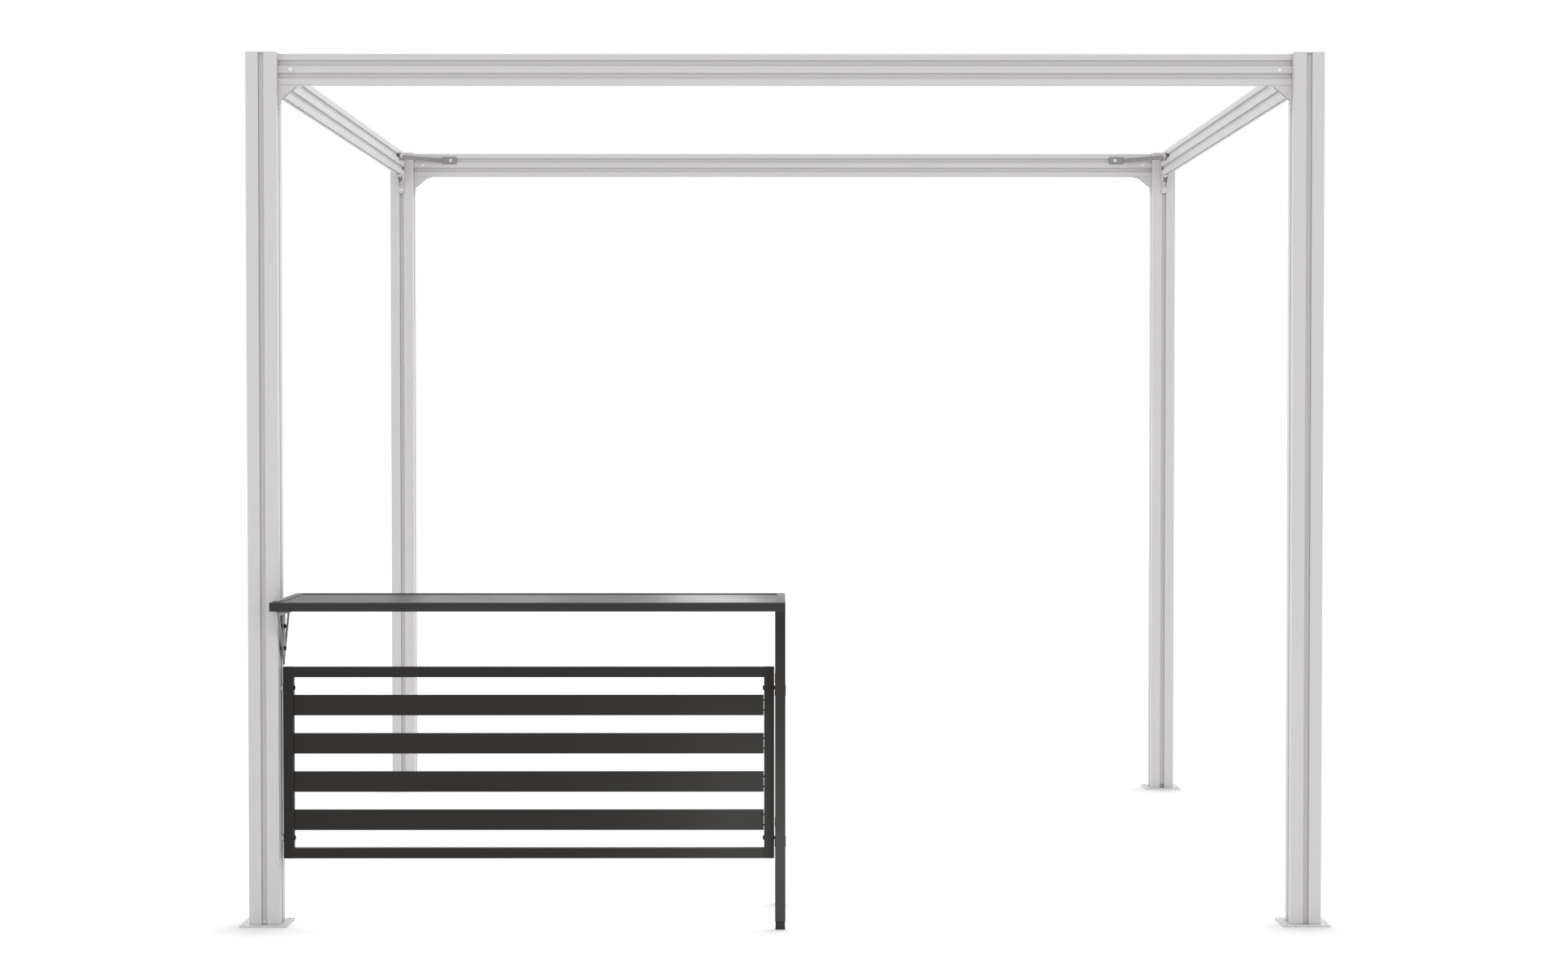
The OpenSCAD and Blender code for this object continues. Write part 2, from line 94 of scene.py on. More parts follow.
def add_node(tree, kind, settings, inputs):
    """Adds a node. An input is a value, or the output socket of another node."""
    node = tree.nodes.new(kind)
    for name, value in settings.items():
        setattr(node, name, value)
    for name, value in inputs.items():
        if isinstance(value, bpy.types.NodeSocket):
            tree.links.new(value, node.inputs[name])
        else:
            node.inputs[name].default_value = value
    return node


def new_material(name):
    """An empty material and its node tree."""
    material = bpy.data.materials.new(name)
    material.use_nodes = True
    material.node_tree.nodes.clear()
    return material, material.node_tree


def coating(name, tones, roughness, gloss, peel_mm, peel_depth_mm, edge_mm=0.0, painted_shade=None, metallic=0.0):
    """A sprayed, moulded or plated skin over metal or plastic.

    It has two close tones in wide soft patches, a fine peel in its gloss, soft edges where an edge width
    is given, and, where a shade colour is given, a painted shade in slots and corners where little open sky
    reaches.
    """
    material, tree = new_material(name)
    place = add_node(tree, "ShaderNodeTexCoord", {}, {}).outputs["Object"]
    patches = add_node(
        tree, "ShaderNodeTexNoise", {},
        {"Vector": place, "Scale": 1000 / PATCH_MM, "Detail": PATCH_DETAIL},
    )
    tone = add_node(
        tree, "ShaderNodeMix", {"data_type": "RGBA"},
        {"Factor": patches.outputs["Fac"], "A": linear(tones[0]), "B": linear(tones[1])},
    ).outputs["Result"]
    # Painted shade: the tone is drawn towards the shade colour where little open sky reaches within a short
    # distance.
    if painted_shade:
        open_sky = add_node(
            tree, "ShaderNodeAmbientOcclusion", {"samples": SHADER_SAMPLES}, {"Distance": PAINTED_SHADE_REACH_MM / 1000}
        )
        depth = add_node(
            tree, "ShaderNodeMapRange", {},
            {"Value": open_sky.outputs["AO"], "From Min": PAINTED_SHADE_FULL, "From Max": PAINTED_SHADE_ENDS,
             "To Min": 1.0, "To Max": 0.0},
        )
        tone = add_node(
            tree, "ShaderNodeMix", {"data_type": "RGBA"},
            {"Factor": depth.outputs["Result"], "A": tone, "B": linear(painted_shade)},
        ).outputs["Result"]
    sheen = add_node(
        tree, "ShaderNodeMapRange", {},
        {"Value": patches.outputs["Fac"], "From Min": NOISE_LOW, "From Max": NOISE_HIGH,
         "To Min": roughness - SHEEN_SPREAD, "To Max": roughness + SHEEN_SPREAD},
    )
    peel = add_node(
        tree, "ShaderNodeTexNoise", {}, {"Vector": place, "Scale": 1000 / peel_mm, "Detail": FINE_DETAIL}
    )
    bump = add_node(
        tree, "ShaderNodeBump", {}, {"Height": peel.outputs["Fac"], "Distance": peel_depth_mm / 1000}
    )
    if edge_mm:
        edge = add_node(
            tree, "ShaderNodeBevel", {"samples": SHADER_SAMPLES}, {"Radius": edge_mm / 1000}
        )
        tree.links.new(edge.outputs["Normal"], bump.inputs["Normal"])
    skin = add_node(
        tree, "ShaderNodeBsdfPrincipled", {},
        {"Base Color": tone, "Metallic": metallic, "Roughness": sheen.outputs["Result"],
         "Specular IOR Level": gloss, "Normal": bump.outputs["Normal"]},
    )
    add_node(tree, "ShaderNodeOutputMaterial", {}, {"Surface": skin.outputs["BSDF"]})
    return material


def coat(names, material):
    """Gives CAD nodes their material."""
    for name in names:
        nodes[name].data.materials.clear()
        nodes[name].data.materials.append(material)


pale_coating = coating(
    "powder_coated_aluminium_pale_grey", (FRAME_GREY, FRAME_GREY_WARM), roughness=0.42, gloss=0.4,
    peel_mm=PEEL_MM, peel_depth_mm=PEEL_DEPTH_MM, edge_mm=EDGE_MM, painted_shade=SLOT_PAINTED_SHADE,
)
for corner in CORNERS:
    coat(("post_" + corner, "base_plate_" + corner), pale_coating)
coat(("beam_front", "beam_rear", "beam_left", "beam_right"), pale_coating)

# Post caps
# Injection-moulded covers pressed into the tops of the posts: a rounded upper rim, and a shallow panel
# sunk into the top face, as such covers have so that they don't warp in the mould. The plastic is a touch
# paler and duller than the coating beside it.
CAP_TONES = ("#d6d4d3", "#d0cecd")
CAP_CORNER, CAP_RIM = 0.003, 0.001
CAP_PANEL, CAP_SLOPE = 0.8, 0.98
CAP_SUNK = 0.0007
# The grain of a mould's steel, and how deep it prints into the plastic.
MOULD_GRAIN_MM, MOULD_GRAIN_DEPTH_MM = 1.5, 0.02
# Points this close together count as one.
TOUCHING = 1e-6
SMOOTH_BELOW = math.radians(35)


def block(box, upright_r, top_r, foot_r=0.0):
    """A bmesh block that fills a box, with its upright, upper and lower edges rounded."""
    low, high = Vector(box[0]), Vector(box[1])
    bm = bmesh.new()
    bmesh.ops.create_cube(bm, size=1.0)
    bmesh.ops.scale(bm, vec=high - low, verts=bm.verts)
    bmesh.ops.translate(bm, vec=(low + high) / 2, verts=bm.verts)
    bm.normal_update()
    half_height = (high.z - low.z) / 2
    uprights = [e for e in bm.edges if abs(e.verts[0].co.z - e.verts[1].co.z) > half_height]
    bmesh.ops.bevel(
        bm, geom=uprights, offset=upright_r, segments=4, profile=0.5, affect="EDGES", material=-1
    )
    for level, radius in ((high.z, top_r), (low.z, foot_r)):
        if radius:
            ring = [e for e in bm.edges if all(abs(v.co.z - level) < TOUCHING for v in e.verts)]
            bmesh.ops.bevel(
                bm, geom=ring, offset=radius, segments=3, profile=0.5, affect="EDGES", material=-1
            )
    return bm


def finish_piece(bm, name, material, replaced=()):
    """Turns a bmesh into a piece that rides on the frame, in place of the named CAD nodes."""
    bmesh.ops.remove_doubles(bm, verts=bm.verts, dist=TOUCHING)
    bmesh.ops.recalc_face_normals(bm, faces=bm.faces)
    mesh = bpy.data.meshes.new(name)
    bm.to_mesh(mesh)
    bm.free()
    mesh.shade_smooth()
    mesh.set_sharp_from_angle(angle=SMOOTH_BELOW)
    mesh.materials.append(material)
    piece = bpy.data.objects.new(name, mesh)
    bpy.context.scene.collection.objects.link(piece)
    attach(piece, "root")
    if replaced:
        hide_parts(*replaced)


cap_plastic = coating(
    "moulded_polypropylene_pale_grey", CAP_TONES, roughness=0.5, gloss=0.5,
    peel_mm=MOULD_GRAIN_MM, peel_depth_mm=MOULD_GRAIN_DEPTH_MM, edge_mm=0.5,
)
for corner in CORNERS:
    low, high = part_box("post_cap_" + corner)
    cap = block((low, high), CAP_CORNER, CAP_RIM)
    top = max(cap.faces, key=lambda face: face.calc_center_median().z)
    middle = Matrix.Translation((-(low[0] + high[0]) / 2, -(low[1] + high[1]) / 2, 0))
    # The top face is inset and drawn in to the panel's edge, then inset again, drawn in and sunk.
    for smaller, down in ((CAP_PANEL, 0.0), (CAP_SLOPE, CAP_SUNK)):
        bmesh.ops.inset_region(cap, faces=[top], thickness=0.0)
        bmesh.ops.scale(cap, vec=(smaller, smaller, 1), verts=top.verts[:], space=middle)
        bmesh.ops.translate(cap, vec=(0, 0, -down), verts=top.verts[:])
    finish_piece(cap, "moulded_cap_" + corner, cap_plastic, ["post_cap_" + corner])

# Outlet plugs and rings
# Pale nylon plugs with a thin flange close the outlets at the foot of two posts, and read as white dots.
# The outlet that is in use, behind on the left post and in front on the right one, has a ring of dull
# black rubber round its plug.
PLUG_TONES = ("#efeeed", "#eae9e8")
RUBBER_TONES = ("#1b1a1a", "#201f1f")
OUTLET_Z = 0.011
# From the middle of a post to the floor of its slots.
SLOT_FLOOR = 0.035
OUTLET_PLUG_R, OUTLET_PLUG_L = 0.0043, 0.004
FREE_FLANGE_R, RINGED_FLANGE_R, FLANGE_T = 0.0054, 0.0046, 0.0008
PLUG_SIDES = 28
RING_R, RING_BODY = 0.0056, 0.0013
RING_SIDES, RING_STEPS = 10, 32
# The post, the side of it that the slot is on, and whether there is a ring.
OUTLETS = {
    "front_left_behind": ("front_left", 1, True),
    "front_left_before": ("front_left", -1, False),
    "rear_right_before": ("rear_right", -1, True),
    "rear_right_behind": ("rear_right", 1, False),
}


def post_middle(corner):
    """The middle of a post, seen from above."""
    low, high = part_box("post_" + corner)
    return (low[0] + high[0]) / 2, (low[1] + high[1]) / 2


def plug_mesh(body_r, body_l, flange_r, flange_t):
    """A mesh of a plug along +Z, with its flange seated at zero."""
    bm = bmesh.new()
    for radius, low, high in ((body_r, -body_l, 0.0), (flange_r, 0.0, flange_t)):
        bmesh.ops.create_cone(
            bm, cap_ends=True, segments=PLUG_SIDES, radius1=radius, radius2=radius, depth=high - low,
            matrix=Matrix.Translation((0, 0, (low + high) / 2)),
        )
    rim = [e for e in bm.edges if all(abs(v.co.z - flange_t) < TOUCHING for v in e.verts)]
    bmesh.ops.bevel(
        bm, geom=rim, offset=flange_t / 2, segments=3, profile=0.5, affect="EDGES", material=-1
    )
    mesh = bpy.data.meshes.new("plug")
    bm.to_mesh(mesh)
    bm.free()
    return mesh


def place_copy(bm, template, seat, axis):
    """Adds a copy of a small mesh, with its +Z turned to the axis and its zero at the seat."""
    turn = Vector((0, 0, 1)).rotation_difference(Vector(axis)).to_matrix().to_4x4()
    copy = template.copy()
    copy.transform(Matrix.Translation(seat) @ turn)
    bm.from_mesh(copy)
    bpy.data.meshes.remove(copy)


rubber = coating(
    "moulded_rubber_black", RUBBER_TONES, roughness=0.6, gloss=0.4, peel_mm=1.0, peel_depth_mm=0.02
)
white_nylon = coating(
    "moulded_nylon_white", PLUG_TONES, roughness=0.45, gloss=0.4,
    peel_mm=MOULD_GRAIN_MM, peel_depth_mm=MOULD_GRAIN_DEPTH_MM,
)
free_plug = plug_mesh(OUTLET_PLUG_R, OUTLET_PLUG_L, FREE_FLANGE_R, FLANGE_T)
ringed_plug = plug_mesh(OUTLET_PLUG_R, OUTLET_PLUG_L, RINGED_FLANGE_R, FLANGE_T)
for outlet, (corner, side, ringed) in OUTLETS.items():
    x, y = post_middle(corner)
    seat = (x, y + side * SLOT_FLOOR, OUTLET_Z)
    plug = bmesh.new()
    place_copy(plug, ringed_plug if ringed else free_plug, seat, (0, side, 0))
    finish_piece(plug, "outlet_plug_" + outlet, white_nylon)
    if ringed:
        ring = bmesh.new()
        bmesh.ops.create_circle(ring, segments=RING_SIDES, radius=RING_BODY)
        bmesh.ops.rotate(ring, matrix=Matrix.Rotation(math.pi / 2, 3, "X"), verts=ring.verts)
        bmesh.ops.translate(ring, vec=(RING_R, 0, 0), verts=ring.verts)
        bmesh.ops.spin(
            ring, geom=ring.verts[:] + ring.edges[:], axis=(0, 0, 1), cent=(0, 0, 0),
            angle=math.tau, steps=RING_STEPS, use_merge=True,
        )
        bmesh.ops.rotate(ring, matrix=Matrix.Rotation(math.pi / 2, 3, "X"), verts=ring.verts)
        bmesh.ops.translate(ring, vec=seat, verts=ring.verts)
        finish_piece(ring, "outlet_ring_" + outlet, rubber)

# Beam plugs
# Nylon plugs like those of the outlets close the holes near the ends of the beams, pressed in from both
# sides. They show as white dots between the two slots.
BEAM_HOLE_END = 0.036
BEAM_PLUG_R, BEAM_PLUG_L = 0.0048, 0.004
BEAM_FLANGE_R, BEAM_FLANGE_T = 0.006, 0.001
# The axis that each beam runs along, and the one across it.
BEAM_AXES = {"front": (0, 1), "rear": (0, 1), "left": (1, 0), "right": (1, 0)}

beam_plug = plug_mesh(BEAM_PLUG_R, BEAM_PLUG_L, BEAM_FLANGE_R, BEAM_FLANGE_T)
for beam, (along, across) in BEAM_AXES.items():
    low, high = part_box("beam_" + beam)
    plugs = bmesh.new()
    for place in (low[along] + BEAM_HOLE_END, high[along] - BEAM_HOLE_END):
        for face, side in ((low[across], -1), (high[across], 1)):
            seat, axis = Vector((0, 0, (low[2] + high[2]) / 2)), Vector((0, 0, 0))
            seat[along], seat[across], axis[across] = place, face, side
            place_copy(plugs, beam_plug, seat, axis)
    finish_piece(plugs, "beam_plugs_" + beam, white_nylon)

# Corner straps and their bolts
# Flat zinc-plated steel straps across the corners, bent to a tab at each end: a dull grey metal with
# soft cloudy highlights. A button-head bolt with a washer, brighter from its plating, holds each tab in
# the upper slots of the beams.
# The second colour is a darker grey painted into the straps' bends and corners as shade.
ZINC_TONES, ZINC_PAINTED_SHADE = ("#8c8a89", "#979594"), "#5f5d5c"
BOLT_TONES = ("#dddcda", "#e4e3e2")
# Plating drifts in gloss over a few millimetres, and is almost flat.
PLATING_MM, PLATING_DEPTH_MM = 5.0, 0.01
STRAP_T, STRAP_HOLE_END = 0.004, 0.022
SCREW_SIDES = 24
KEY_TAPER = 0.0002


def socket_screw(head, head_h, rounding, key, key_depth, shank, reach, washer=0.0, washer_t=0.0):
    """A mesh of a screw along +Z with a domed head and a hexagon socket, its underside seated at zero."""
    bm = bmesh.new()
    bmesh.ops.create_cone(
        bm, cap_ends=True, segments=SCREW_SIDES, radius1=head / 2, radius2=head / 2, depth=head_h,
        matrix=Matrix.Translation((0, 0, washer_t + head_h / 2)),
    )
    top = max(bm.faces, key=lambda face: face.calc_center_median().z)
    bmesh.ops.bevel(
        bm, geom=list(top.edges), offset=rounding, segments=4, profile=0.5, affect="EDGES", material=-1
    )
    bm.normal_update()
    top = max(bm.faces, key=lambda face: face.calc_center_median().z)
    key_corner = key / math.sqrt(3)
    bmesh.ops.inset_region(bm, faces=[top], thickness=head / 2 - rounding - key_corner)
    # The inner ring is drawn in to the six flats of the socket.
    for vert in top.verts:
        turn = math.atan2(vert.co.y, vert.co.x) % (math.pi / 3) - math.pi / 6
        vert.co.xy = vert.co.xy.normalized() * key / 2 / math.cos(turn)
    bmesh.ops.inset_region(bm, faces=[top], thickness=KEY_TAPER, depth=-key_depth)
    for radius, low, high in ((washer / 2, 0.0, washer_t), (shank / 2, -reach, 0.0)):
        if high > low:
            bmesh.ops.create_cone(
                bm, cap_ends=True, segments=SCREW_SIDES, radius1=radius, radius2=radius,
                depth=high - low, matrix=Matrix.Translation((0, 0, (low + high) / 2)),
            )
    mesh = bpy.data.meshes.new("screw")
    bm.to_mesh(mesh)
    bm.free()
    return mesh


def at_corner(node, corner, along, inward, z):
    """A place by a node at a corner, measured inwards from its outer corner, and a direction."""
    low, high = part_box(node)
    x, side = (high[0], 1) if corner.endswith("right") else (low[0], -1)
    y, end = (high[1], 1) if corner.startswith("rear") else (low[1], -1)
    return (x - side * along[0], y - end * along[1], z), (-side * inward[0], -end * inward[1], inward[2])


zinc = coating(
    "zinc_plated_steel_sheet", ZINC_TONES, roughness=0.42, gloss=0.5,
    peel_mm=PLATING_MM, peel_depth_mm=PLATING_DEPTH_MM, edge_mm=0.4, painted_shade=ZINC_PAINTED_SHADE, metallic=0.6,
)
bolt_steel = coating(
    "zinc_plated_bolt_steel", BOLT_TONES, roughness=0.32, gloss=0.5,
    peel_mm=PLATING_MM, peel_depth_mm=PLATING_DEPTH_MM, edge_mm=0.3, metallic=0.8,
)
frame_bolt = socket_screw(
    head=0.0115, head_h=0.0035, rounding=0.0028, key=0.004, key_depth=0.002,
    shank=0.006, reach=0.007, washer=0.014, washer_t=0.0012,
)
for corner in CORNERS:
    strap = "strap_" + corner
    coat([strap], zinc)
    low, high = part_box(strap)
    bolt_in = high[0] - low[0] - STRAP_HOLE_END
    bolt_z = (low[2] + high[2]) / 2
    bolts = bmesh.new()
    for along, inward in (((bolt_in, STRAP_T), (0, 1, 0)), ((STRAP_T, bolt_in), (1, 0, 0))):
        place_copy(bolts, frame_bolt, *at_corner(strap, corner, along, inward, bolt_z))
    finish_piece(bolts, "strap_bolts_" + corner, bolt_steel)

# Knee brackets and their bolts
# Cast aluminium angle brackets with two triangular cheeks, one under each beam, coated like the frame but
# a little rougher, because the grain of the casting shows through. Two bolts in each leg, between the
# cheeks, run into the slots of the post and the beam.
CAST_TONES = ("#d4d2d3", "#cecccc")
CASTING_DEPTH_MM = 0.08
KNEE_T = 0.004
KNEE_BOLTS = (0.026, 0.055)

# Like the frame, the brackets get a painted shade in their corners and hollows.
cast_coating = coating(
    "powder_coated_cast_aluminium", CAST_TONES, roughness=0.46, gloss=0.4,
    peel_mm=PEEL_MM, peel_depth_mm=CASTING_DEPTH_MM, edge_mm=EDGE_MM, painted_shade=SLOT_PAINTED_SHADE,
)
for corner in CORNERS:
    post = "post_" + corner
    coat(["knees_" + corner], cast_coating)
    post_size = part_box(post)[1][0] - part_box(post)[0][0]
    middle = post_size / 2
    wall = post_size + KNEE_T
    beam_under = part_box("knees_" + corner)[1][2]
    bolts = bmesh.new()
    for gap in KNEE_BOLTS:
        out = post_size + gap
        for along, inward, z in (
            ((out, middle), (0, 0, -1), beam_under - KNEE_T),
            ((middle, out), (0, 0, -1), beam_under - KNEE_T),
            ((wall, middle), (1, 0, 0), beam_under - gap),
            ((middle, wall), (0, 1, 0), beam_under - gap),
        ):
            place_copy(bolts, frame_bolt, *at_corner(post, corner, along, inward, z))
    finish_piece(bolts, "knee_bolts_" + corner, bolt_steel)

# Tubes of the bar
# Thin square and rectangular tubes of the end frame and the slatted panel, welded and powder-coated
# anthracite. The fine texture of the powder breaks up the highlights along the tubes.
ANTHRACITE_TONES = ("#292725", "#2e2c2a")
# The real texture is about 0.5 mm across, and is drawn 2 mm across here so that it shows.
TEXTURE_MM, TEXTURE_DEPTH_MM = 2.0, 0.08

dark_coating = coating(
    "powder_coated_anthracite_matt", ANTHRACITE_TONES, roughness=0.47, gloss=0.16,
    peel_mm=TEXTURE_MM, peel_depth_mm=TEXTURE_DEPTH_MM,
)
coat(
    (
        "leg_front", "leg_rear", "leg_cross_rail_upper", "leg_cross_rail_lower",
        "panel_rail_top", "panel_rail_bottom", "panel_stile_left", "panel_stile_right",
        "slat_1", "slat_2", "slat_3", "slat_4",
    ),
    dark_coating,
)

# Worktop rails
# Rectangular tubes mitred at the corners, welded, ground flush and coated smoother than the rest, because
# people lean and wipe on them: at a low angle their tops mirror the surroundings.
RAIL_TONES = ("#2b2a29", "#302f2e")
RAIL_TEXTURE_DEPTH_MM = 0.03

smooth_coating = coating(
    "powder_coated_anthracite_smooth", RAIL_TONES, roughness=0.38, gloss=0.26,
    peel_mm=TEXTURE_MM, peel_depth_mm=RAIL_TEXTURE_DEPTH_MM,
)
coat(
    ("worktop_rail_front", "worktop_rail_rear", "worktop_rail_left", "worktop_rail_right"),
    smooth_coating,
)

# Welds of the bar
# The cross rails are welded to the legs all round. The bead stands about a millimetre proud and is coated
# over with the tubes, so it shows as a soft collar.
BEAD = 0.0012
BEAD_LENGTH = 0.003


def bead_round(box):
    """A weld bead round the joint that a box encloses."""
    low, high = Vector(box[0]), Vector(box[1])
    grow = Vector([BEAD if high[i] - low[i] > 2 * BEAD_LENGTH else 0.0 for i in range(3)])
    bm = bmesh.new()
    bmesh.ops.create_cube(bm, size=1.0)
    bmesh.ops.scale(bm, vec=high - low + 2 * grow, verts=bm.verts)
    bmesh.ops.translate(bm, vec=(low + high) / 2, verts=bm.verts)
    bmesh.ops.bevel(
        bm, geom=bm.edges[:], offset=BEAD, segments=3, profile=0.5, affect="EDGES", material=-1
    )
    return bm


for level in ("upper", "lower"):
    low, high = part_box("leg_cross_rail_" + level)
    for end, y in (("front", low[1]), ("rear", high[1] - BEAD_LENGTH)):
        bead = bead_round(((low[0], y, low[2]), (high[0], y + BEAD_LENGTH, high[2])))
        finish_piece(bead, "weld_%s_%s" % (level, end), dark_coating)

# Feet of the bar
# Moulded black polyethylene feet pressed into the legs, duller and blacker than the tubes, with rounded
# soles and a shallow groove under the tube.
FOOT_TONES = ("#262525", "#2b2a2a")
FOOT_GRAIN_DEPTH_MM = 0.03
FOOT_CORNER, FOOT_SOLE = 0.003, 0.002
FOOT_GROOVE_DOWN, FOOT_GROOVE = 0.003, 0.0006
# Levels down the groove in steps of its depth, and the two between which its bottom is flat.
GROOVE_LEVELS, GROOVE_BOTTOM = (0, 1, 3, 4), (1, 3)

foot_plastic = coating(
    "moulded_polyethylene_black", FOOT_TONES, roughness=0.6, gloss=0.15,
    peel_mm=MOULD_GRAIN_MM, peel_depth_mm=FOOT_GRAIN_DEPTH_MM, edge_mm=0.3,
)
for end in ("front", "rear"):
    low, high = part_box("leg_foot_" + end)
    foot = block((low, high), FOOT_CORNER, FOOT_GROOVE / 2, FOOT_SOLE)
    middle = (Vector(low) + Vector(high)) / 2
    for level in GROOVE_LEVELS:
        cut = bmesh.ops.bisect_plane(
            foot, geom=foot.verts[:] + foot.edges[:] + foot.faces[:],
            plane_co=(0, 0, high[2] - FOOT_GROOVE_DOWN - level * FOOT_GROOVE), plane_no=(0, 0, 1),
        )
        if level in GROOVE_BOTTOM:
            ring = [v for v in cut["geom_cut"] if isinstance(v, bmesh.types.BMVert)]
            shrink = 1 - 2 * FOOT_GROOVE / (high[0] - low[0])
            bmesh.ops.scale(
                foot, vec=(shrink, shrink, 1), verts=ring,
                space=Matrix.Translation((-middle.x, -middle.y, 0)),
            )
    finish_piece(foot, "moulded_foot_" + end, foot_plastic, ["leg_foot_" + end])

# Worktop board
# A dark compact laminate board let into the rails. Its sealed satin face mirrors the surroundings softly
# at a low angle, with faint clouds in the sheen from the press.
BOARD, BOARD_LIGHT = "#2c2a2a", "#343232"
CLOUD_MM, CLOUD_DETAIL = 333, 4.0
GRAIN_MM, GRAIN_DEPTH_MM = 2.5, 0.01
BOARD_GLOSS = 0.05
SMOOTHEST, ROUGHEST = 0.28, 0.33

board_material, tree = new_material("compact_laminate_dark_satin")
place = add_node(tree, "ShaderNodeTexCoord", {}, {}).outputs["Object"]
clouds = add_node(
    tree, "ShaderNodeTexNoise", {}, {"Vector": place, "Scale": 1000 / CLOUD_MM, "Detail": CLOUD_DETAIL}
)
grain = add_node(
    tree, "ShaderNodeTexNoise", {}, {"Vector": place, "Scale": 1000 / GRAIN_MM, "Detail": FINE_DETAIL}
)
tone = add_node(
    tree, "ShaderNodeMix", {"data_type": "RGBA"},
    {"Factor": clouds.outputs["Fac"], "A": linear(BOARD), "B": linear(BOARD_LIGHT)},
)
sheen = add_node(
    tree, "ShaderNodeMapRange", {},
    {"Value": clouds.outputs["Fac"], "From Min": NOISE_LOW, "From Max": NOISE_HIGH,
     "To Min": SMOOTHEST, "To Max": ROUGHEST},
)
bump = add_node(
    tree, "ShaderNodeBump", {}, {"Height": grain.outputs["Fac"], "Distance": GRAIN_DEPTH_MM / 1000}
)
board = add_node(
    tree, "ShaderNodeBsdfPrincipled", {},
    {"Base Color": tone.outputs["Result"], "Roughness": sheen.outputs["Result"],
     "Specular IOR Level": BOARD_GLOSS, "Normal": bump.outputs["Normal"]},
)
add_node(tree, "ShaderNodeOutputMaterial", {}, {"Surface": board.outputs["BSDF"]})
coat(["worktop_inset"], board_material)

# Bar bracket and fasteners
# A triangular bracket of dark zinc-plated steel beside the post, dull with soft highlights, held by two
# bolts in sleeves. Screws through the stiles hold the slatted panel. Bolts, sleeves and screws are steel
# with a black oxide skin, which swallows almost all light.
# The last colour is a darker grey painted into the bracket's corners as shade.
BRACKET_TONES, BRACKET_PAINTED_SHADE = ("#747271", "#7c7a79"), "#3d3c3b"
OXIDE_TONES = ("#0c0c0c", "#121212")
BRACKET_T = 0.004
BRACKET_BOLTS_DOWN = (0.050, 0.115)
SCREWS_UP = (0.060, 0.503)
SLEEVE_D, SLEEVE_CHAMFER = 0.010, 0.0004
post_x, bar_y = post_middle("front_left")


def sleeve(bm, x_from, x_to, z, diameter):
    """A sleeve along x in the plane of the front posts, with a small chamfer at both ends."""
    made = bmesh.ops.create_cone(
        bm, cap_ends=True, segments=SCREW_SIDES, radius1=diameter / 2, radius2=diameter / 2,
        depth=x_to - x_from,
        matrix=Matrix.Translation(((x_from + x_to) / 2, bar_y, z)) @ Matrix.Rotation(math.pi / 2, 4, "Y"),
    )
    edges = {e for v in made["verts"] for e in v.link_edges}
    ends = [e for e in edges if abs(e.verts[0].co.x - e.verts[1].co.x) < TOUCHING]
    bmesh.ops.bevel(
        bm, geom=ends, offset=SLEEVE_CHAMFER, segments=1, profile=0.5, affect="EDGES", material=-1
    )


dark_zinc = coating(
    "dark_zinc_plated_steel", BRACKET_TONES, roughness=0.4, gloss=0.5,
    peel_mm=PLATING_MM, peel_depth_mm=PLATING_DEPTH_MM, edge_mm=0.4, painted_shade=BRACKET_PAINTED_SHADE, metallic=0.5,
)
coat(["bar_bracket"], dark_zinc)
black_oxide = coating(
    "black_oxide_steel", OXIDE_TONES, roughness=0.5, gloss=0.15, peel_mm=4.0, peel_depth_mm=0.01,
    edge_mm=0.3,
)
threads_left, threads_right = [corner[0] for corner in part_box("bar_fasteners")]
bracket_low, bracket_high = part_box("bar_bracket")
bracket_seat = bracket_low[0] + BRACKET_T
left_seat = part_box("panel_stile_left")[1][0]
right_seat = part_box("panel_stile_right")[0][0]
screw_heights = [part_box("panel_stile_left")[0][2] + up for up in SCREWS_UP]
bracket_bolt = socket_screw(
    head=0.013, head_h=0.005, rounding=0.0028, key=0.005, key_depth=0.003,
    shank=0.008, reach=bracket_seat - threads_left,
)
panel_screw_left, panel_screw_right = [
    socket_screw(
        head=0.014, head_h=0.004, rounding=0.0034, key=0.004, key_depth=0.002, shank=0.006, reach=reach
    )
    for reach in (left_seat - threads_left, threads_right - right_seat)
]
hardware = bmesh.new()
for down in BRACKET_BOLTS_DOWN:
    z = bracket_high[2] - down
    place_copy(hardware, bracket_bolt, (bracket_seat, bar_y, z), (1, 0, 0))
    sleeve(hardware, post_x + SLOT_FLOOR, bracket_low[0], z, SLEEVE_D)
for z in screw_heights:
    place_copy(hardware, panel_screw_left, (left_seat, bar_y, z), (1, 0, 0))
    place_copy(hardware, panel_screw_right, (right_seat, bar_y, z), (-1, 0, 0))
finish_piece(hardware, "bar_bolts_and_screws", black_oxide, ["bar_fasteners"])

# Panel spacers
# Pale grey nylon rings round the panel screws, with a soft waxy look. They keep the slatted panel off the
# post on the left and off the end frame on the right, so that the coating isn't rubbed.
SPACER_TONES = ("#cfcdcc", "#c9c7c6")
LEFT_SPACER_D, RIGHT_SPACER_D = 0.022, 0.010

nylon = coating(
    "moulded_nylon_pale_grey", SPACER_TONES, roughness=0.5, gloss=0.4,
    peel_mm=MOULD_GRAIN_MM, peel_depth_mm=MOULD_GRAIN_DEPTH_MM,
)
spacers = bmesh.new()
for z in screw_heights:
    sleeve(
        spacers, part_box("post_front_left")[1][0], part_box("panel_stile_left")[0][0], z, LEFT_SPACER_D
    )
    sleeve(spacers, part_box("panel_stile_right")[1][0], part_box("leg_front")[0][0], z, RIGHT_SPACER_D)
finish_piece(spacers, "panel_spacers", nylon)

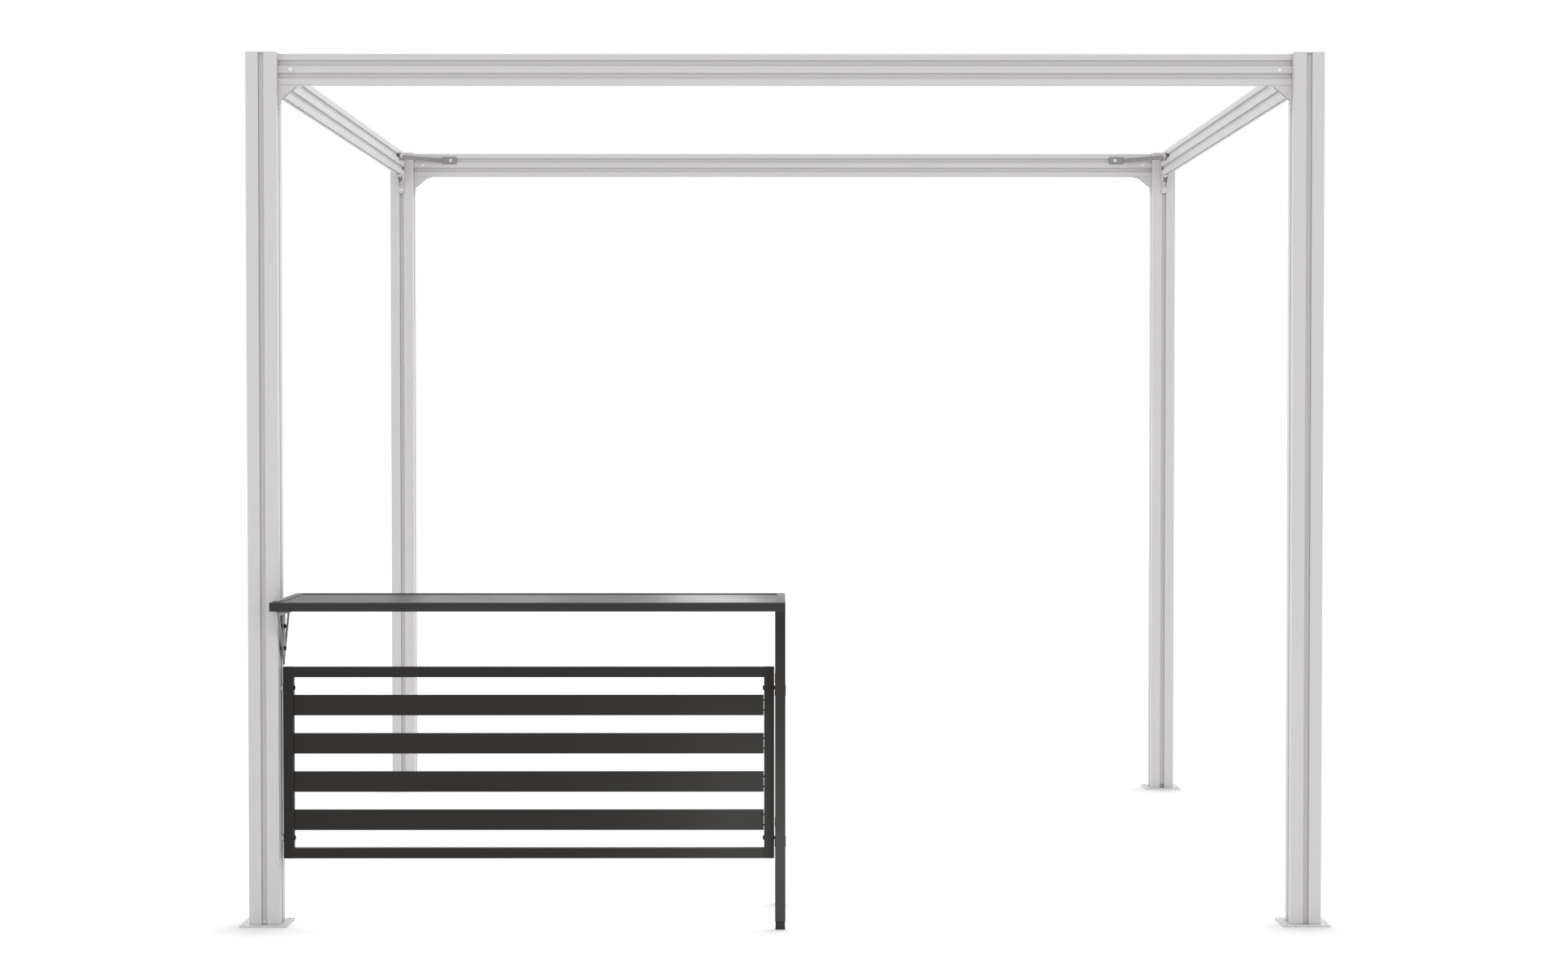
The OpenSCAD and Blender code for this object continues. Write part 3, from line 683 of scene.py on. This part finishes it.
# Floor
# A plain white studio floor. It shows as white with a little real shading, and with a painted shadow of the
# object: the white is dimmed where the object hides the floor from behind, so the shadow falls towards the
# front, as if the light came from behind on the right.
FLOOR_SIZE, FLOOR_DROP = 160.0, 0.0005
FLOOR_SEEN, FLOOR_BOUNCE = "#ffffff", "#e6e6e6"
WHITE_SHARE, FLOOR_GLOW = 0.85, 1.06
SHADOW_REACH, SHADOW_TONE = 0.3, 0.7
SHADOW_FROM = (0.2, 1.0, 0.1)
SHADOW_SAMPLES = 16
# The share of open sky at which the painted shadow is full, and at which it ends.
SHADOW_FULL, SHADOW_ENDS = 0.72, 0.92


def seen_or_mirrored(tree):
    """Is 1 for what the camera sees, straight or in gloss or glass, and 0 for the light on the object."""
    path = add_node(tree, "ShaderNodeLightPath", {}, {})
    seen = add_node(
        tree, "ShaderNodeMath", {"operation": "MAXIMUM"},
        {0: path.outputs["Is Camera Ray"], 1: path.outputs["Is Glossy Ray"]},
    )
    return add_node(
        tree, "ShaderNodeMath", {"operation": "MAXIMUM"},
        {0: seen.outputs["Value"], 1: path.outputs["Is Transmission Ray"]},
    ).outputs["Value"]


floor_bm = bmesh.new()
bmesh.ops.create_grid(floor_bm, x_segments=1, y_segments=1, size=FLOOR_SIZE / 2)
bmesh.ops.translate(floor_bm, verts=floor_bm.verts, vec=(0, 0, -FLOOR_DROP))
floor_mesh = bpy.data.meshes.new("floor")
floor_bm.to_mesh(floor_mesh)
floor_bm.free()
floor = bpy.data.objects.new("floor", floor_mesh)
bpy.context.scene.collection.objects.link(floor)

floor_material, tree = new_material("white_studio_floor")
seen = seen_or_mirrored(tree)
share = add_node(tree, "ShaderNodeMath", {"operation": "MULTIPLY"}, {0: seen, 1: WHITE_SHARE})
# The painted shadow: an occlusion test aimed towards the back dims the floor's white near the object.
behind = add_node(tree, "ShaderNodeCombineXYZ", {}, dict(zip("XYZ", SHADOW_FROM)))
nearness = add_node(
    tree, "ShaderNodeAmbientOcclusion", {"samples": SHADOW_SAMPLES},
    {"Distance": SHADOW_REACH, "Normal": behind.outputs["Vector"]},
)
painted_contact_shadow = add_node(
    tree, "ShaderNodeMapRange", {},
    {"Value": nearness.outputs["AO"], "From Min": SHADOW_FULL, "From Max": SHADOW_ENDS,
     "To Min": SHADOW_TONE, "To Max": FLOOR_GLOW},
)
paint = add_node(
    tree, "ShaderNodeMix", {"data_type": "RGBA"},
    {"Factor": seen, "A": linear(FLOOR_BOUNCE), "B": linear(FLOOR_SEEN)},
)
matt = add_node(tree, "ShaderNodeBsdfDiffuse", {}, {"Color": paint.outputs["Result"]})
white = add_node(
    tree, "ShaderNodeEmission", {},
    {"Color": linear(FLOOR_SEEN), "Strength": painted_contact_shadow.outputs["Result"]},
)
mixed = add_node(
    tree, "ShaderNodeMixShader", {},
    {0: share.outputs["Value"], 1: matt.outputs["BSDF"], 2: white.outputs["Emission"]},
)
add_node(tree, "ShaderNodeOutputMaterial", {}, {"Surface": mixed.outputs["Shader"]})
floor.data.materials.append(floor_material)

# Surroundings and light
# A white studio: the background shows as white, the light is even all round and a little stronger from
# the sides, and a wide soft lamp stands behind on the right.
SKY = "#ffffff"
WORLD_LIGHT, WORLD_SIDES = 0.86, 0.46
LAMP_STRENGTH, LAMP_SPREAD = 1.1, math.radians(60)
LAMP_ANGLES = (math.radians(-22), math.radians(14), 0.0)

world = bpy.data.worlds.new("white_studio")
bpy.context.scene.world = world
world.use_nodes = True
tree = world.node_tree
tree.nodes.clear()
direction = add_node(tree, "ShaderNodeTexCoord", {}, {}).outputs["Generated"]
sideways = add_node(tree, "ShaderNodeSeparateXYZ", {}, {"Vector": direction}).outputs["X"]
squared = add_node(tree, "ShaderNodeMath", {"operation": "MULTIPLY"}, {0: sideways, 1: sideways})
level = add_node(
    tree, "ShaderNodeMath", {"operation": "MULTIPLY_ADD"},
    {0: squared.outputs["Value"], 1: WORLD_SIDES, 2: WORLD_LIGHT},
)
strength = add_node(
    tree, "ShaderNodeMix", {"data_type": "FLOAT"},
    {"Factor": seen_or_mirrored(tree), "A": level.outputs["Value"], "B": 1.0},
)
sky = add_node(
    tree, "ShaderNodeBackground", {}, {"Color": linear(SKY), "Strength": strength.outputs["Result"]}
)
add_node(tree, "ShaderNodeOutputWorld", {}, {"Surface": sky.outputs["Background"]})

lamp_data = bpy.data.lights.new("wide_soft_lamp", "SUN")
lamp_data.energy = LAMP_STRENGTH
lamp_data.angle = LAMP_SPREAD
lamp = bpy.data.objects.new("wide_soft_lamp", lamp_data)
lamp.rotation_euler = LAMP_ANGLES
bpy.context.scene.collection.objects.link(lamp)

# Soft boxes
# They light nothing and show only in the gloss: two tall ones far behind, as pale patches in the worktop,
# and a low one in front, as a glow on the bar's lower right corner.
FACING_FRONT = (-math.pi / 2, 0.0, 0.0)
FACING_BACK = (math.pi / 2, 0.0, 0.0)
# The place, the way it faces, its width and height in metres, and its power in watts.
SOFT_BOXES = {
    "soft_box_right": ((-0.48, 10.0, 1.6), FACING_FRONT, 0.6, 3.2, 11.5),
    "soft_box_left": ((-2.15, 10.0, 1.6), FACING_FRONT, 1.1, 3.2, 3.6),
    "soft_box_low": ((0.15, -2.6, 0.08), FACING_BACK, 0.4, 0.1, 11.0),
}

for name, (place, turn, width, height, power) in SOFT_BOXES.items():
    box_data = bpy.data.lights.new(name, "AREA")
    box_data.shape = "RECTANGLE"
    box_data.size = width
    box_data.size_y = height
    box_data.energy = power
    box = bpy.data.objects.new(name, box_data)
    box.location = place
    box.rotation_euler = turn
    box.visible_camera = False
    box.visible_diffuse = False
    bpy.context.scene.collection.objects.link(box)

bpy.context.scene.view_settings.view_transform = "Standard"
